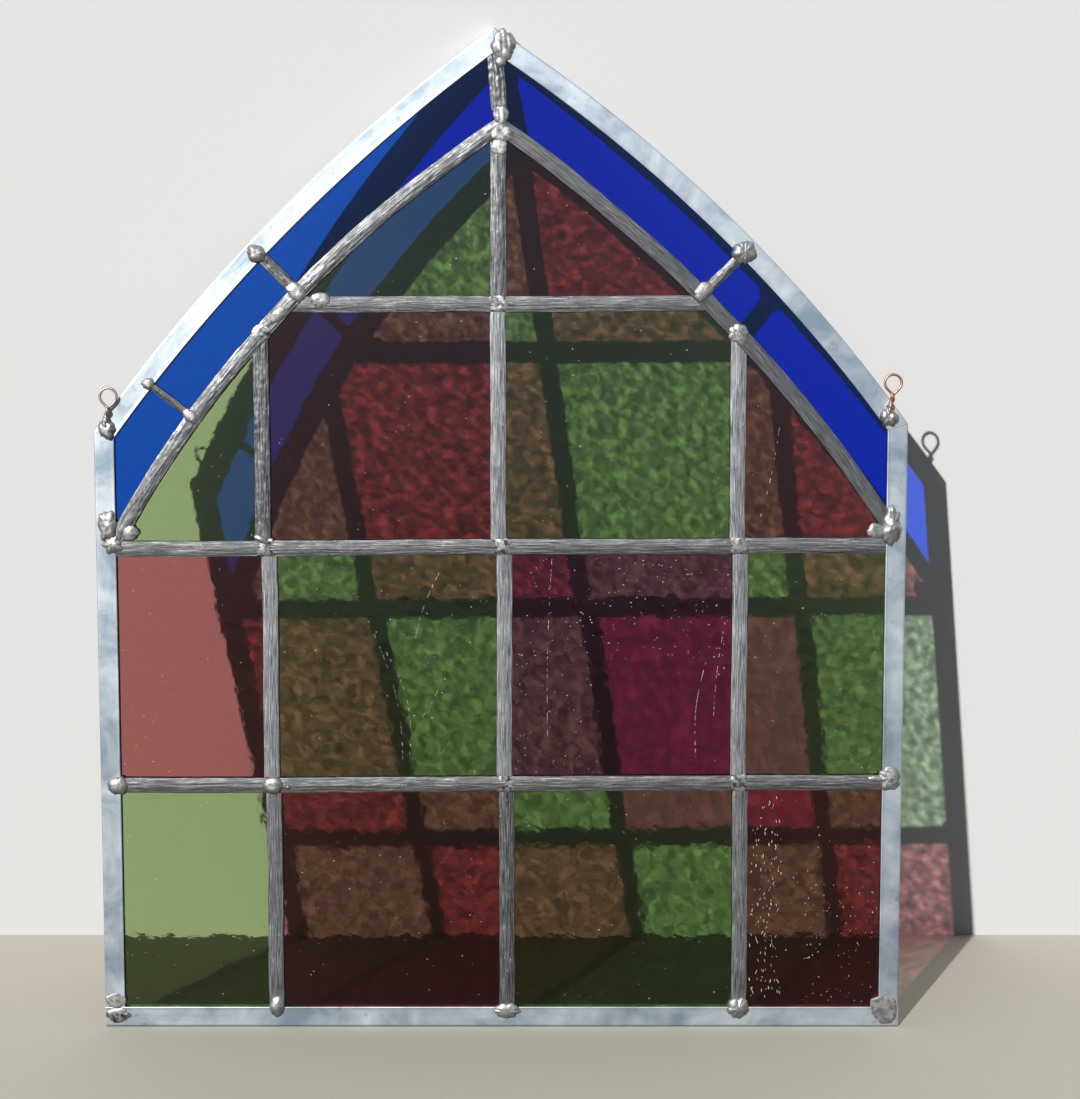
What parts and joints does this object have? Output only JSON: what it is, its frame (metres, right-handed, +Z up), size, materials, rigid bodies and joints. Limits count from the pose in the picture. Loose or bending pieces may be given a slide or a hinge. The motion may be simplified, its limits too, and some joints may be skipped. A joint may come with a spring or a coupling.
{
  "type": "stained glass window",
  "caption": "Hanging leaded glass panel with a pointed arch top: coloured panes in lead cames, a blue glass border, a zinc channel frame and twisted wire eyes.",
  "frame": {"origin": "midway between the two hanging eyes, at the height where a wire bears on the top of their rings, in the middle of the panel's thickness", "axes": "+Z up as it hangs, the front faces -Y, +X to the right as seen from the front"},
  "size_m": [0.382, 0.0107, 0.4722],
  "materials": {
    "zinc": "pale mottled zinc, lightly brushed",
    "lead": "dull grey lead with brighter solder at the joints",
    "wire": "tinned copper wire, worn to copper in places",
    "glass_red": "hammered, see-through red",
    "glass_green": "hammered, see-through green",
    "glass_magenta": "hammered, see-through deep magenta",
    "glass_blue": "smooth, see-through deep blue"
  },
  "bodies": {
    "root": {"frame_bottom": "zinc", "frame_left": "zinc", "frame_right": "zinc", "frame_arch_left": "zinc", "frame_arch_right": "zinc", "came_cross_lower": "lead", "came_cross_middle": "lead", "came_cross_upper": "lead", "came_upright_lower_1": "lead", "came_upright_lower_2": "lead", "came_upright_lower_3": "lead", "came_upright_middle_1": "lead", "came_upright_middle_2": "lead", "came_upright_middle_3": "lead", "came_upright_upper_1": "lead", "came_upright_upper_2": "lead", "came_upright_upper_3": "lead", "came_upright_peak": "lead", "came_arch_left": "lead", "came_arch_right": "lead", "came_strut_apex": "lead", "came_strut_left_high": "lead", "came_strut_left_low": "lead", "came_strut_right": "lead", "glass_lower_1_green": "glass_green", "glass_lower_2_red": "glass_red", "glass_lower_3_green": "glass_green", "glass_lower_4_red": "glass_red", "glass_middle_1_red": "glass_red", "glass_middle_2_green": "glass_green", "glass_middle_3_magenta": "glass_magenta", "glass_middle_4_green": "glass_green", "glass_upper_1_green": "glass_green", "glass_upper_2_red": "glass_red", "glass_upper_3_green": "glass_green", "glass_upper_4_red": "glass_red", "glass_peak_1_green": "glass_green", "glass_peak_2_red": "glass_red", "glass_border_left_top_blue": "glass_blue", "glass_border_left_middle_blue": "glass_blue", "glass_border_left_low_blue": "glass_blue", "glass_border_right_top_blue": "glass_blue", "glass_border_right_low_blue": "glass_blue", "hanging_eye_left": "wire", "hanging_eye_right": "wire"}
  },
  "joints": []
}
